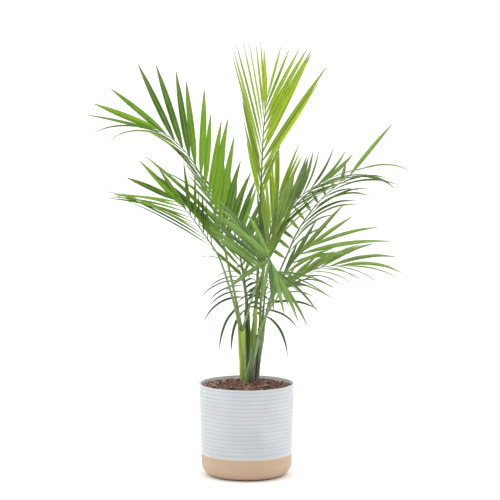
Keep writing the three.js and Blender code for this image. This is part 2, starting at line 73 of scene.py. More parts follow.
white_glaze = (200, 204, 208)
cloudy_glaze = (193, 198, 202)
# Painted shade: the grooves are tinted this cooler grey, where the glaze also pools.
groove_shade_glaze = (174, 181, 188)
# Painted light and shade inside: lighter than the outside's white, and a little darker deeper down.
inner_shaded_glaze = (220, 224, 218)
inner_lit_rim_glaze = (230, 235, 235)
bare_clay = (192, 164, 136)
pale_clay = (199, 173, 146)
clay_grog = (166, 133, 101)
thin_glaze = (210, 197, 180)


def paint(colour):
    """A colour given as it looks on a screen, from 0 to 255, as linear light."""
    shares = [c / 255 for c in colour]
    light = [c / 12.92 if c < 0.04045 else ((c + 0.055) / 1.055) ** 2.4 for c in shares]
    return (*light, 1.0)


def circle(steps):
    """Even angles once round."""
    return [2 * math.pi * k / steps for k in range(steps)]


def round_skin(rings, steps):
    """The faces between rings of corners that each go once round a piece."""
    faces = []
    for ring in range(rings - 1):
        here, above = ring * steps, (ring + 1) * steps
        for k in range(steps):
            after = (k + 1) % steps
            faces.append((here + k, here + after, above + after, above + k))
    return faces


def store(piece, name, values):
    """Keeps three numbers with each corner, for the piece's finish to read."""
    stored = piece.data.attributes.new(name, "FLOAT_VECTOR", "POINT")
    stored.data.foreach_set("vector", np.array(values, dtype=np.float32).ravel())


def solid_piece(name, places, faces, smooth=True):
    """A new mesh piece, with its faces turned outwards."""
    mesh = bpy.data.meshes.new(name)
    mesh.from_pydata([tuple(p) for p in places], [], faces)
    shape = bmesh.new()
    shape.from_mesh(mesh)
    bmesh.ops.recalc_face_normals(shape, faces=shape.faces)
    shape.to_mesh(mesh)
    shape.free()
    mesh.polygons.foreach_set("use_smooth", [smooth] * len(mesh.polygons))
    piece = bpy.data.objects.new(name, mesh)
    bpy.context.scene.collection.objects.link(piece)
    return piece


def fix(piece, slot, *nodes):
    """The piece rides on the plant's one body and stands for its solids."""
    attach(piece, "root")
    if nodes:
        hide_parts(*nodes)


def ease(value, low, high):
    """0 below low, 1 above high, and a smooth rise between."""
    share = min(max((value - low) / (high - low), 0), 1)
    return share * share * (3 - 2 * share)


class Finish:
    """A procedural material, put together node by node on one Principled shader."""

    def __init__(self, name, **sockets):
        self.material = bpy.data.materials.new(name)
        self.material.use_nodes = True
        self.tree = self.material.node_tree
        self.shader = self.tree.nodes["Principled BSDF"]
        self.output = self.tree.nodes["Material Output"]
        for socket, value in sockets.items():
            self.shader.inputs[socket.replace("_", " ")].default_value = value

    def add(self, kind, *inputs, out=0, **settings):
        """Adds a node, sets it, fills its sockets in order and returns one of its outputs."""
        made = self.tree.nodes.new("ShaderNode" + kind)
        for key, value in settings.items():
            setattr(made, key, value)
        for socket, value in enumerate(inputs):
            if value is not None:
                self.put(made.inputs[socket], value)
        return made.outputs[out]

    def put(self, socket, value):
        if isinstance(value, bpy.types.NodeSocket):
            self.tree.links.new(value, socket)
        else:
            socket.default_value = value

    def place(self):
        """Where a point of the surface is on the object, in metres."""
        return self.add("TexCoord", out="Object")

    def sum(self, how, a, b=0.0, c=0.0):
        return self.add("Math", a, b, c, operation=how)

    def times(self, a, b):
        return self.sum("MULTIPLY", a, b)

    def plus(self, a, b):
        return self.sum("ADD", a, b)

    def speckle(self, where, scale, detail=2.0, rough=0.5):
        """A soft noise from 0 to 1."""
        return self.add("TexNoise", where, None, scale, detail, rough)

    def between(self, value, low, high, to_low=0.0, to_high=1.0):
        """A value brought from one range to another, smoothly, and held at its ends."""
        return self.add(
            "MapRange", value, low, high, to_low, to_high, interpolation_type="SMOOTHSTEP"
        )

    def blend(self, share, a, b):
        """Two colours mixed by a share."""
        made = self.tree.nodes.new("ShaderNodeMix")
        made.data_type = "RGBA"
        self.put(made.inputs[0], share)
        self.put(made.inputs[6], a)
        self.put(made.inputs[7], b)
        return made.outputs[2]

    def relief(self, height, distance, strength=1.0, under=None):
        """Fine relief over the shape, `distance` metres high."""
        made = self.tree.nodes.new("ShaderNodeBump")
        made.inputs["Strength"].default_value = strength
        made.inputs["Distance"].default_value = distance
        self.put(made.inputs["Height"], height)
        if under:
            self.put(made.inputs["Normal"], under)
        return made.outputs[0]

    def ramp(self, value, stops):
        """A run of colours: (place, colour) pairs from 0 to 1."""
        made = self.tree.nodes.new("ShaderNodeValToRGB")
        self.put(made.inputs[0], value)
        elements = made.color_ramp.elements
        for i, (place, colour) in enumerate(stops):
            stop = elements[i] if i < 2 else elements.new(place)
            stop.position = place
            stop.color = paint(colour)
        return made.outputs[0]

    def wear(self, colour=None, roughness=None, normal=None):
        """Puts what the nodes have made on the shader."""
        for socket, value in (
            ("Base Color", colour), ("Roughness", roughness), ("Normal", normal),
        ):
            if value is not None:
                self.put(self.shader.inputs[socket], value)
        return self.material


def wall_radius(height):
    share = (height - shoulder_height) / (pot_height - shoulder_height)
    return shoulder_radius + (rim_radius - shoulder_radius) * share


def outer_radius(height):
    """The wall's outside: its ribs, and the glaze that ends in a soft edge above the bare foot."""
    lowest_groove = top_groove - (rib_count - 1) * rib_pitch
    ribbed = ease(height, lowest_groove - rib_pitch, lowest_groove)
    ribbed *= 1 - ease(height, top_groove + 0.3 * rib_pitch, top_groove + 0.55 * rib_pitch)
    turn = 2 * math.pi * (height - top_groove) / rib_pitch
    groove = (0.5 + 0.5 * math.cos(turn)) ** 1.5
    bare = 1 - ease(height, glaze_edge - 0.8 * MM, glaze_edge + 0.8 * MM)
    return wall_radius(height) - rib_depth * ribbed * groove - glaze_thickness * bare


def arc(centre, radii, start, end, steps):
    """Points round part of an ellipse, in degrees, without its first."""
    turns = [math.radians(start + (end - start) * i / steps) for i in range(1, steps + 1)]
    return [
        (centre[0] + radii[0] * math.cos(t), centre[1] + radii[1] * math.sin(t)) for t in turns
    ]


def pot_outline():
    """Radius and height, from the middle of the underside round the wall to the inside's floor,
    and the number of points before the one that ends the lip, where the inside starts."""
    foot_reach = shoulder_radius - foot_radius
    outline = [(0.02, 0), (0.5 * foot_radius, 0), (foot_radius, 0)]
    outline += arc((foot_radius, shoulder_height), (foot_reach, shoulder_height), -90, 0, 14)
    lip = 1.6 * MM
    wall_top = pot_height - 2 * lip
    steps = 200
    for i in range(1, steps + 1):
        height = shoulder_height + (wall_top - shoulder_height) * i / steps
        outline.append((outer_radius(height), height))
    outline += arc((rim_radius - lip, pot_height - lip), (lip, lip), 0, 90, 6)
    outline += arc((inside_radius + lip, pot_height - lip), (lip, lip), 90, 180, 6)
    inside_start = len(outline) - 1
    outline += [(inside_radius - 0.4 * MM, pot_height - 12 * MM)]
    outline += [(wall_radius(h) - pot_wall, h) for h in (0.2, 0.15, 0.1, 0.06, shoulder_height)]
    outline += arc((foot_radius, shoulder_height), (28 * MM, 26 * MM), 0, -90, 8)
    outline += [(0.5 * foot_radius, pot_floor), (0.02, pot_floor)]
    return outline, inside_start


def turned(name, outline, steps):
    """A lathe-turned piece that is a hair out of true all round, as thrown clay is."""
    places, faces = [], []
    for k in range(steps):
        angle = 2 * math.pi * k / steps
        for radius, height in outline:
            place = Vector((math.cos(angle) * 4, math.sin(angle) * 4, height * 60))
            wobble = 1 + 0.0012 * noise.noise(place) * (radius / rim_radius)
            places.append((radius * wobble * math.cos(angle), radius * wobble * math.sin(angle), height))
    count = len(outline)
    for k in range(steps):
        here, after = k * count, (k + 1) % steps * count
        faces += [(here + i, after + i, after + i + 1, here + i + 1) for i in range(count - 1)]
    bottom, top = len(places), len(places) + 1
    places += [(0, 0, outline[0][1]), (0, 0, outline[-1][1])]
    for k in range(steps):
        here, after = k * count, (k + 1) % steps * count
        faces += [(bottom, after, here), (top, here + count - 1, after + count - 1)]
    return solid_piece(name, places, faces)


def two_tone_glaze():
    """White satin glaze with painted shade in its grooves, a cooler grey where the glaze also pools, over
    a matte, finely grogged tan clay.
    """
    finish = Finish("two_tone_glaze", Coat_Weight=0.25, Coat_Roughness=0.25)
    where = finish.place()
    height = finish.add("SeparateXYZ", where, out=2)
    drift = finish.times(finish.speckle(where, 30), 0.0022)
    edge = finish.plus(height, drift)
    glazed = finish.between(edge, glaze_edge + 0.4 * MM, glaze_edge + 1.8 * MM)
    # Painted shade in the grooves: there the white is mixed a third of the way to a cooler grey, where
    # the glaze also pools.
    turn = finish.times(finish.sum("SUBTRACT", height, top_groove), 2 * math.pi / rib_pitch)
    groove = finish.between(finish.sum("COSINE", turn), 0.1, 1.0)
    cloud = finish.between(finish.speckle(where, 14, 3.0), 0.35, 0.7)
    white = finish.blend(cloud, paint(white_glaze), paint(cloudy_glaze))
    glaze = finish.blend(finish.times(groove, 0.34), white, paint(groove_shade_glaze))
    grog = finish.between(finish.speckle(where, 900, 3.0), 0.55, 0.75)
    clay_cloud = finish.blend(finish.speckle(where, 25), paint(pale_clay), paint(bare_clay))
    clay = finish.blend(finish.times(grog, 0.5), clay_cloud, paint(clay_grog))
    rim_of_glaze = finish.between(edge, glaze_edge + 1.6 * MM, glaze_edge + 4.5 * MM)
    thin = finish.blend(rim_of_glaze, paint(thin_glaze), glaze)
    colour = finish.blend(glazed, clay, thin)
    roughness = finish.add("MapRange", glazed, 0.0, 1.0, 0.78, 0.38)
    dimples = finish.relief(finish.speckle(where, 260, 2.0), 0.12 * MM, 0.5)
    pits = finish.relief(finish.speckle(where, 1100, 2.0), 0.1 * MM, 0.35, dimples)
    return finish.wear(colour, roughness, pits)


def inside_glaze():
    """The glaze down the inside, painted lighter than the outside as painted light, and a little darker
    deeper down, below an uneven line, as painted shade.
    """
    finish = Finish("inside_glaze", Roughness=0.5)
    where = finish.place()
    height = finish.add("SeparateXYZ", where, out=2)
    # Painted shade: below an uneven line some 12 mm under the rim the inside is a little darker, and it
    # lightens to the rim colour by 2 mm under the rim.
    shade_line = finish.plus(height, finish.times(finish.speckle(where, 40, 4.0), 0.012))
    toward_lit_rim = finish.between(shade_line, pot_height - 12 * MM, pot_height - 2 * MM)
    colour = finish.blend(toward_lit_rim, paint(inner_shaded_glaze), paint(inner_lit_rim_glaze))
    return finish.wear(colour, None, finish.relief(finish.speckle(where, 240, 2.0), 0.1 * MM, 0.4))


outline, inside_start = pot_outline()
planter = turned("ribbed_planter", outline, pot_steps)
planter.data.materials.append(two_tone_glaze())
planter.data.materials.append(inside_glaze())
for face in planter.data.polygons:
    stretch = face.index % (len(outline) - 1)
    face.material_index = int(stretch >= inside_start and face.index < pot_steps * (len(outline) - 1))
fix(planter, "glaze", "planter")

# ------------------------------------------------------------------------------- soil
# The planter is filled with a moist peat mix that is domed towards the stems. Its top is strewn
# with chips of reddish-brown bark, flat and torn, that lie half sunk in it at every angle.

soil_edge = 234 * MM
soil_crown = 11 * MM
soil_gap = 0.6 * MM
soil_rings = 56
soil_steps = 180
chip_count = 1300
chip_lengths = (4 * MM, 20 * MM)
chip_widths, chip_heights = (0.35, 0.75), (0.16, 0.3)
chip_tilts = (("X", 16), ("Y", 14))
bark_tones = (
    (0.0, (36, 26, 22)), (0.25, (88, 62, 52)), (0.5, (144, 102, 86)), (0.72, (106, 80, 70)),
    (0.88, (166, 124, 102)), (1.0, (194, 166, 142)),
)


def soil_height(x, y):
    """The soil's top: a low dome, rough with crumbs."""
    reach = math.hypot(x, y) / (inside_radius - soil_gap)
    crumbs = 2.2 * MM * noise.noise(Vector((x, y, 0)) * 90)
    crumbs += 1.3 * MM * noise.noise(Vector((x, y, 2)) * 260)
    return soil_edge + soil_crown * (1 - reach * reach) + crumbs * (1 - reach ** 8)


def soil_outline_radius(height):
    return wall_radius(height) - pot_wall - soil_gap


def soil_bed():
    """The whole fill, from the planter's floor up."""
    places = []
    for radius, height in (
        (foot_radius - 4 * MM, pot_floor + soil_gap),
        (soil_outline_radius(shoulder_height) - 2 * MM, shoulder_height + 6 * MM),
        (soil_outline_radius(0.5 * soil_edge), 0.5 * soil_edge),
    ):
        for angle in circle(soil_steps):
            places.append((radius * math.cos(angle), radius * math.sin(angle), height))
    edge = soil_outline_radius(soil_edge)
    for ring in range(soil_rings, 0, -1):
        for angle in circle(soil_steps):
            x = edge * ring / soil_rings * math.cos(angle)
            y = edge * ring / soil_rings * math.sin(angle)
            places.append((x, y, soil_height(x, y)))
    faces = round_skin(soil_rings + 3, soil_steps)
    top = len(places)
    places.append((0, 0, soil_height(0, 0)))
    last = top - soil_steps
    faces += [(last + k, last + (k + 1) % soil_steps, top) for k in range(soil_steps)]
    faces.append(tuple(range(soil_steps)))
    return solid_piece("soil_bed", places, faces)


def bark_chips():
    """Torn chips, each a squashed and chipped lump with its own tone."""
    chance = np.random.default_rng(7)
    lump = bmesh.new()
    bmesh.ops.create_icosphere(lump, subdivisions=1, radius=1)
    corners = [v.co.copy() for v in lump.verts]
    sides = [[v.index for v in f.verts] for f in lump.faces]
    lump.free()
    places, faces, tones = [], [], []
    most = soil_outline_radius(soil_edge)
    for _ in range(chip_count):
        reach = most * math.sqrt(chance.uniform(0, 1))
        around = chance.uniform(0, 2 * math.pi)
        x, y = reach * math.cos(around), reach * math.sin(around)
        length = chip_lengths[0] + (chip_lengths[1] - chip_lengths[0]) * chance.uniform(0, 1) ** 2.2
        length = min(length, 2 * (most - reach) + 2 * chip_lengths[0] / 3)
        width, height = (length * chance.uniform(*shares) for shares in (chip_widths, chip_heights))
        size = Vector((length, width, height))
        turn = Matrix.Rotation(chance.uniform(0, 2 * math.pi), 3, "Z")
        for axis, tilt in chip_tilts:
            turn = turn @ Matrix.Rotation(math.radians(chance.normal(0, tilt)), 3, axis)
        middle = Vector((x, y, soil_height(x, y) + 0.12 * size.z))
        tone = chance.uniform(0, 1)
        start = len(places)
        for corner in corners:
            squared = Vector([math.copysign(abs(c) ** 0.6, c) for c in corner])
            jag = 1 + chance.uniform(-0.22, 0.22)
            places.append(middle + turn @ Vector([a * b * jag / 2 for a, b in zip(squared, size)]))
            tones.append(tone)
        faces += [tuple(start + i for i in side) for side in sides]
    piece = solid_piece("bark_chips", places, faces, smooth=False)
    piece.data.attributes.new("tone", "FLOAT", "POINT").data.foreach_set("value", tones)
    return piece


def bark_finish(name, follows_chips):
    """Browns from nearly black peat, deepened as painted shade between the chips, to pale torn bark, with
    fibres along the grain.
    """
    finish = Finish(name, Roughness=0.9)
    where = finish.place()
    if follows_chips:
        own = finish.add("Attribute", attribute_name="tone", out=2)
        grain = finish.speckle(where, 420, 3.0)
        tone = finish.plus(own, finish.sum("MULTIPLY_ADD", grain, 0.5, -0.25))
    else:
        # The peat keeps to the darker browns: its own moist colour, deepened as painted shade in the gaps
        # between the chips.
        tone = finish.times(finish.speckle(where, 520, 4.0), 0.55)
    relief = finish.relief(finish.speckle(where, 700, 3.0), 0.6 * MM, 0.7)
    return finish.wear(finish.ramp(tone, bark_tones), None, relief)


soil = soil_bed()
soil.data.materials.append(bark_finish("peat_mix", False))
fix(soil, "soil", "soil")
chips = bark_chips()
chips.data.materials.append(bark_finish("torn_bark", True))
fix(chips, "soil")

# ------------------------------------------------------------------------------- stems
# Each of the five stems is a tight wrap of leaf sheaths, one inside the next, that its stalks grow
# out of. The youngest are smooth and green. The oldest have dried to grey-brown paper from the foot
# up, and torn strips of it lie on the soil.

stems = {
    "left": dict(foot=(-11, 20, 245), top=(-14, 18, 376), radius=(5.6, 9.6), spread=4.9),
    "front": dict(foot=(-2, -8, 243), top=(29, -12, 364), radius=(5.6, 9), spread=4.3),
    "back": dict(foot=(6, 46, 245), top=(4, 50, 420), radius=(8.6, 10.8), spread=5),
    "middle": dict(foot=(13, 26, 246), top=(21, 33, 430), radius=(7, 9.8), spread=4.9),
    "right": dict(foot=(26, 53, 246), top=(38, 56, 370), radius=(5.6, 9.8), spread=4.9),
}
# The sides of each stem's top that its stalks leave from, in degrees.
stalk_sides_of = {
    "left": (100, 220, -20), "front": (60, -120), "back": (200, 100), "middle": (-60, 60),
    "right": (220, -20, 100),
}
stem_depth = 44 * MM
stem_rings = 64
stem_steps = 48
# How far up each stem its sheaths have dried, where less than 0 is not at all, and the deep and the
# pale tone of the green above.
stem_looks = {
    "left": (0.04, (132, 160, 16), (184, 206, 92)),
    "front": (-0.3, (60, 96, 44), (134, 164, 104)),
    # The back stem's deep and pale greens are darker than the others': painted shade where it stands
    # behind them.
    "back": (-0.05, (46, 74, 24), (92, 124, 70)),
    "middle": (0.52, (88, 116, 20), (154, 174, 62)),
    "right": (0.58, (70, 92, 56), (148, 156, 130)),
}
tongue = 13 * MM
clasp = 5.6 * MM
sheath_mouths = (0.4, 0.56, 0.7, 0.84)
sheath_slants = (0.07, 0.16)
sheath_thickness = 0.6 * MM
wrap_gap = 0.4 * MM
foot_thinning = 2 * MM
foot_swell = 0.6 * MM
top_hollow = 6 * MM
dark_fibre = (58, 70, 36)
dry_edge = (142, 126, 96)
dry_paper = ((0.3, (56, 56, 48)), (0.5, (96, 96, 84)), (0.72, (160, 156, 142)))


def stem_line(key):
    """A stem's buried foot and its top, in metres."""
    foot, top = Vector(stems[key]["foot"]) * MM, Vector(stems[key]["top"]) * MM
    return foot - (top - foot).normalized() * stem_depth, top


def square_to(ahead):
    """Two directions across a line that runs ahead."""
    across = Vector((0, 1, 0)).cross(ahead).normalized()
    return across, ahead.cross(across)


def clasped(angle, spread, sides):
    """How far a sheath reaches where it clasps the stalks that stand round a stem's middle."""
    reach = 0.35 * spread + 0.35 * clasp
    for side in sides:
        off = abs(spread * math.sin(angle - side))
        if off < clasp and math.cos(angle - side) > 0:
            near = spread * math.cos(angle - side) + math.sqrt(clasp * clasp - off * off)
            reach = max(reach, near)
    return reach


def wrapped_stem(key, seed):
    """Sheaths wrapped round a stem: each ends in a slanting edge that stands off the next, and the
    last ones run up the stalks in tongues."""
    chance = np.random.default_rng(seed)
    buried, top = stem_line(key)
    ahead = (top - buried).normalized()
    across, up = square_to(ahead)
    thin, thick = (r * MM for r in stems[key]["radius"])
    spread = stems[key]["spread"] * MM
    sides = []
    for degrees in stalk_sides_of[key]:
        way = Vector((math.cos(math.radians(degrees)), math.sin(math.radians(degrees)), 0))
        sides.append(math.atan2(way.dot(up), way.dot(across)))
    sheaths = [
        (share, chance.uniform(0, 2 * math.pi), chance.uniform(*sheath_slants)) for share in sheath_mouths
    ]
    turns = circle(stem_steps)
    tops = [max(max(math.cos(a - side), 0) ** 3 for side in sides) for a in turns]
    clasps = [clasped(a, spread, sides) for a in turns]
    nearest = zip(clasps[-1:] + clasps[:-1], clasps, clasps[1:] + clasps[:1])
    clasps = [(before + 2 * here + after) / 4 for before, here, after in nearest]
    places, values = [], []
    for ring in range(stem_rings + 1):
        share = ring / stem_rings
        for angle, rise, hold in zip(turns, tops, clasps):
            step, age = 0.0, 0
            for height, face, slant in sheaths:
                edge = height + slant * math.cos(angle - face) - 0.04 * math.cos(2 * (angle - face))
                covered = 1 - ease(share, edge - 0.01, edge + 0.01)
                step += sheath_thickness * covered
                age += covered
            ribs = 0.16 * MM * math.cos(11 * angle + 3 * share) + 0.1 * MM * math.cos(23 * angle)
            swell = foot_swell * (1 - ease(share, 0.2, 0.42))
            thinned = wrap_gap + foot_thinning * (1 - ease(share, 0.3, 0.9))
            round_reach = thin + (thick - thin) * share - thinned
            reach = round_reach + (hold - round_reach) * ease(share, 0.55, 0.97) + step + ribs + swell
            line = buried.lerp(top + ahead * tongue * rise, share)
            places.append(line + (across * math.cos(angle) + up * math.sin(angle)) * reach)
            values.append((share, age / len(sheaths), angle / (2 * math.pi)))
    faces = round_skin(stem_rings + 1, stem_steps)
    faces.append(tuple(range(stem_steps)))
    rim, hub = stem_rings * stem_steps, len(places)
    places.append(top - ahead * top_hollow)
    values.append((0.9, 0.5, 0.5))
    faces += [(rim + k, rim + (k + 1) % stem_steps, hub) for k in range(stem_steps)]
    piece = solid_piece(f"{key}_stem_sheaths", places, faces)
    store(piece, "wrap", values)
    piece.data.materials.append(sheath_finish(f"{key}_sheath", *stem_looks[key]))
    fix(piece, "stem", f"stem_{key}")


def sheath_finish(name, dry, deep, pale):
    """Green sheath that dries to grey-brown paper from the foot up, ribbed along its length."""
    finish = Finish(name, Roughness=0.5, Specular_IOR_Level=0.4)
    wrap = finish.add("Attribute", attribute_name="wrap", out=1)
    parts = finish.add("SeparateXYZ", wrap)
    share, age, angle = (parts.node.outputs[i] for i in range(3))
    around = finish.times(angle, 11.0)
    along = finish.add("CombineXYZ", around, finish.times(share, 1.6))
    streaks = finish.speckle(along, 1.0, 4.0, 0.6)
    fibres = finish.speckle(finish.add("Mapping", along, None, None, (5.0, 3.0, 1.0)), 1.0, 3.0, 0.6)
    patches = finish.speckle(finish.place(), 60, 3.0)
    green = finish.blend(finish.between(streaks, 0.36, 0.66), paint(deep), paint(pale))
    green = finish.blend(finish.between(fibres, 0.5, 0.75, 0.0, 0.45), green, paint(dark_fibre))
    paper = finish.ramp(fibres, dry_paper)
    drift = finish.sum("MULTIPLY_ADD", patches, 0.4, -0.2)
    torn = finish.sum("MULTIPLY_ADD", streaks, 0.5, -0.25)
    worn = finish.plus(finish.plus(share, drift), torn)
    dried = finish.between(worn, 0.9 * dry + 0.06, 0.9 * dry - 0.1)
    half_covered = finish.sum("SUBTRACT", finish.sum("FRACT", finish.times(age, 3.99)), 0.5)
    edge = finish.between(finish.sum("ABSOLUTE", half_covered), 0.45, 0.2, 0.0, 0.6)
    colour = finish.blend(dried, green, paper)
    colour = finish.blend(edge, colour, paint(dry_edge))
    ribs = finish.relief(streaks, 0.6 * MM, 0.7)
    return finish.wear(colour, None, ribs)


for number, key in enumerate(stems):
    wrapped_stem(key, 20 + number)

scrap_count = 34
scrap_middle = Vector((13, 14)) * MM
scrap_spread = 15 * MM
scrap_steps = 7
scrap_lengths, scrap_widths = (8, 24), (1.2, 3)
scrap_thickness = 0.3 * MM
scrap_rest = 1.2 * MM


def sheath_scraps():
    """Torn, curled strips of old sheath, shed on the soil between the stems' feet."""
    chance = np.random.default_rng(31)
    places, faces, values = [], [], []
    for _ in range(scrap_count):
        x, y = (scrap_middle[k] + chance.normal(0, scrap_spread) for k in (0, 1))
        turn = chance.uniform(0, 2 * math.pi)
        length, width = (chance.uniform(*ends) * MM for ends in (scrap_lengths, scrap_widths))
        rise, curl = chance.uniform(0, 0.8), chance.uniform(-2.2, 2.2)
        way = Vector((math.cos(turn), math.sin(turn), 0))
        side = Vector((-way.y, way.x, chance.uniform(-0.5, 0.5))).normalized()
        spot = Vector((x, y, soil_height(x, y) + scrap_rest))
        start, tone = len(places), chance.uniform(0, 1)
        for step in range(scrap_steps):
            share = step / (scrap_steps - 1)
            pitch = rise + curl * share
            ahead = way * math.cos(pitch) + Vector((0, 0, abs(math.sin(pitch))))
            spot = spot + ahead * length / scrap_steps
            half = width / 2 * (0.35 + math.sin(math.pi * min(share + 0.15, 1)))
            near, far, lift = spot - side * half, spot + side * half, Vector((0, 0, scrap_thickness))
            places += [near, far, far + lift, near + lift]
            values += [(tone, 0.5, k / 4) for k in range(4)]
        last = 4 * (scrap_steps - 1)
        skin = round_skin(scrap_steps, 4) + [(3, 2, 1, 0), (last, last + 1, last + 2, last + 3)]
        faces += [tuple(start + corner for corner in face) for face in skin]
    piece = solid_piece("sheath_scraps", places, faces)
    store(piece, "wrap", values)
    piece.data.materials.append(sheath_finish("dry_sheath", 1.6, (96, 84, 64), (176, 160, 128)))
    fix(piece, "stem")


sheath_scraps()

# ------------------------------------------------------------------------------- young fronds
# The two youngest fronds stand nearly upright in the middle, with thin yellow-green leaflets that
# the light shines through. A frond is one piece: a stalk out of a socket in its stem, and folded
# leaflets in two rows along its upper part, each grown into the stalk at its root.

stalk_foot_radius = 3.8 * MM
stalk_tip_radius = 0.9 * MM
stalk_taper = 1.3
stalk_step = 42 * MM
fewest_stalk_steps = 10
socket_depth = 12 * MM
last_leaflet = 0.995
root_out = 0.5
hand_stagger = 0.45
leaflet_places = (0, 0.2, 0.46, 0.74, 1)
blade_widths = (0.24, 1, 1.14, 0.86, 0.14)
chance_of = {"open": 2, "lift": 2.5, "roll": 7, "length": 0.11, "hang": 0.2}
# The turns that a leaflet may have made to stay clear of its neighbours: degrees more open, degrees
# more lift, and the share of its length that it has kept.
leaflet_turns = (
    (0, 0, 1), (0, 5, 1), (0, -5, 1), (3, 0, 1), (-3, 0, 1), (0, 10, 1), (0, -10, 1), (5, 8, 1),
    (-5, -8, 1), (5, -8, 1), (-5, 8, 1), (0, 16, 1), (0, -16, 1), (9, 0, 1), (9, 14, 1), (9, -14, 1),
    (0, 24, 0.95), (0, -24, 0.95), (0, 0, 0.8), (4, 12, 0.8), (4, -12, 0.8), (0, 32, 0.7),
    (0, -32, 0.7), (0, 0, 0.55),
)
blade_steps = 22
blade_across = (-1, -0.8, -0.52, -0.24, 0, 0.24, 0.52, 0.8, 1)
blade_thickness = 0.55 * MM
thread_width = 0.55 * MM
fold_height = 0.26
stalk_sides = 14
stalk_rings = 72
stalk_flare = 0.3
channel_depth = 0.25
curve_steps = 200
tip_match = 0.3 * MM
dried_tip = (142, 138, 116)
light_let_through = 0.35


def repeatable(seed):
    """A stream of numbers from 0 to 1 that is the same in every run."""
    mask, state = 0xFFFFFFFF, seed

    def draw():
        nonlocal state
        state = (state + 0x6D2B79F5) & mask
        t = ((state ^ (state >> 15)) * (state | 1)) & mask
        t ^= (t + (t ^ (t >> 7)) * (t | 61)) & mask
        return ((t ^ (t >> 14)) & mask) / 4294967296

    return draw


class StalkLine:
    """A smooth line through a stalk's places, measured along its length."""

    def __init__(self, places):
        first, last = 2 * places[0] - places[1], 2 * places[-1] - places[-2]
        self.places = [first, *places, last]
        shares = [i / curve_steps for i in range(curve_steps + 1)]
        points = [self.even(share) for share in shares]
        steps = [(b - a).length for a, b in zip(points, points[1:])]
        self.shares = shares
        self.reached = [0.0, *np.cumsum(steps)]
        self.length = self.reached[-1]

    def even(self, share):
        """A place by its share of the number of stretches."""
        stretches = len(self.places) - 3
        i = min(int(share * stretches), stretches - 1)
        t = share * stretches - i
        before, here, after, beyond = self.places[i:i + 4]
        leave, arrive = (after - before) / 2, (beyond - here) / 2
        bend = -3 * here + 3 * after - 2 * leave - arrive
        return here + leave * t + bend * t * t + (2 * here - 2 * after + leave + arrive) * t ** 3

    def at(self, share):
        return self.even(np.interp(share * self.length, self.reached, self.shares))

    def ahead(self, share):
        even = np.interp(share * self.length, self.reached, self.shares)
        near, far = max(even - 0.0001, 0), min(even + 0.0001, 1)
        return (self.even(far) - self.even(near)).normalized()


def stalk_line(frond):
    stem = stems[frond["stem"]]
    foot, top = Vector(stem["foot"]) * MM, Vector(stem["top"]) * MM
    rise = (top - foot).normalized()
    side = math.radians(frond["leaves"])
    mouth = top + Vector((math.cos(side), math.sin(side), 0)) * stem["spread"] * MM
    path = [Vector(place) * MM for place in frond["path"]]
    return StalkLine([mouth - rise * socket_depth, mouth + rise * socket_depth, *path])


def stalk_radius(share):
    return stalk_foot_radius + (stalk_tip_radius - stalk_foot_radius) * share ** stalk_taper


def along_frond(values, along):
    """A value between those given at even places from a frond's foot to its tip."""
    if not isinstance(values, list):
        return values
    return float(np.interp(along * (len(values) - 1), range(len(values)), values))


def bud_on(line, frond, share):
    """Where a leaflet leaves its stalk, the way the stalk runs, its side and its upper face."""
    steps = max(fewest_stalk_steps, math.floor(line.length / stalk_step + 0.5))
    step = math.floor(share * steps)
    place = line.at(step / steps).lerp(line.at((step + 1) / steps), share * steps - step)
    ahead = line.ahead(share)
    side = ahead.cross(Vector(frond["faces"][0]).lerp(Vector(frond["faces"][1]), share)).normalized()
    return place, ahead, side, side.cross(ahead).normalized(), root_out * stalk_radius(share)


def leaflet_line(bud, hand, habit, along, luck, turn):
    """The places along a leaflet that sags towards its tip, and which way is up at each."""
    place, ahead, side, up, out = bud
    more_open, more_lift, kept = turn
    swung = {}
    for key in ("open", "lift", "roll"):
        swung[key] = along_frond(habit[key], along) + chance_of[key] * luck[key]
    opening = math.radians(swung["open"] + more_open)
    lift = math.radians(swung["lift"] + more_lift)
    full = along_frond(habit["length"], along) * MM
    length = full * (1 + chance_of["length"] * luck["length"]) * kept
    hang = along_frond(habit["hang"], along) * (1 + chance_of["hang"] * luck["hang"])
    outward = side * hand * math.cos(lift) + up * math.sin(lift)
    ahead = (ahead * math.cos(opening) + outward * math.sin(opening)).normalized()
    up = (up - ahead * up.dot(ahead)).normalized()
    up = Matrix.Rotation(math.radians(hand * swung["roll"]), 3, ahead) @ up
    place = place + outward * out
    line = [(place, up)]
    for before, share in zip(leaflet_places, leaflet_places[1:]):
        ahead.z -= hang * (share - before) * (0.6 + 1.5 * (share + before))
        ahead.normalize()
        up = (up - ahead * up.dot(ahead)).normalized()
        place = place + ahead * length * (share - before)
        line.append((place.copy(), up.copy()))
    return line


def through(marks, values, share):
    """A smooth run through values that are set at marks along a length."""
    i = min(int(np.searchsorted(marks, share, side="right")) - 1, len(marks) - 2)
    span = marks[i + 1] - marks[i]
    slopes = []
    for k in (i, i + 1):
        low, high = max(k - 1, 0), min(k + 1, len(marks) - 1)
        slopes.append((values[high] - values[low]) / (marks[high] - marks[low]))
    t = (share - marks[i]) / span
    return (
        values[i] * (2 * t ** 3 - 3 * t ** 2 + 1)
        + slopes[0] * (span * (t ** 3 - 2 * t ** 2 + t))
        + values[i + 1] * (3 * t ** 2 - 2 * t ** 3)
        + slopes[1] * (span * (t ** 3 - t ** 2))
    )


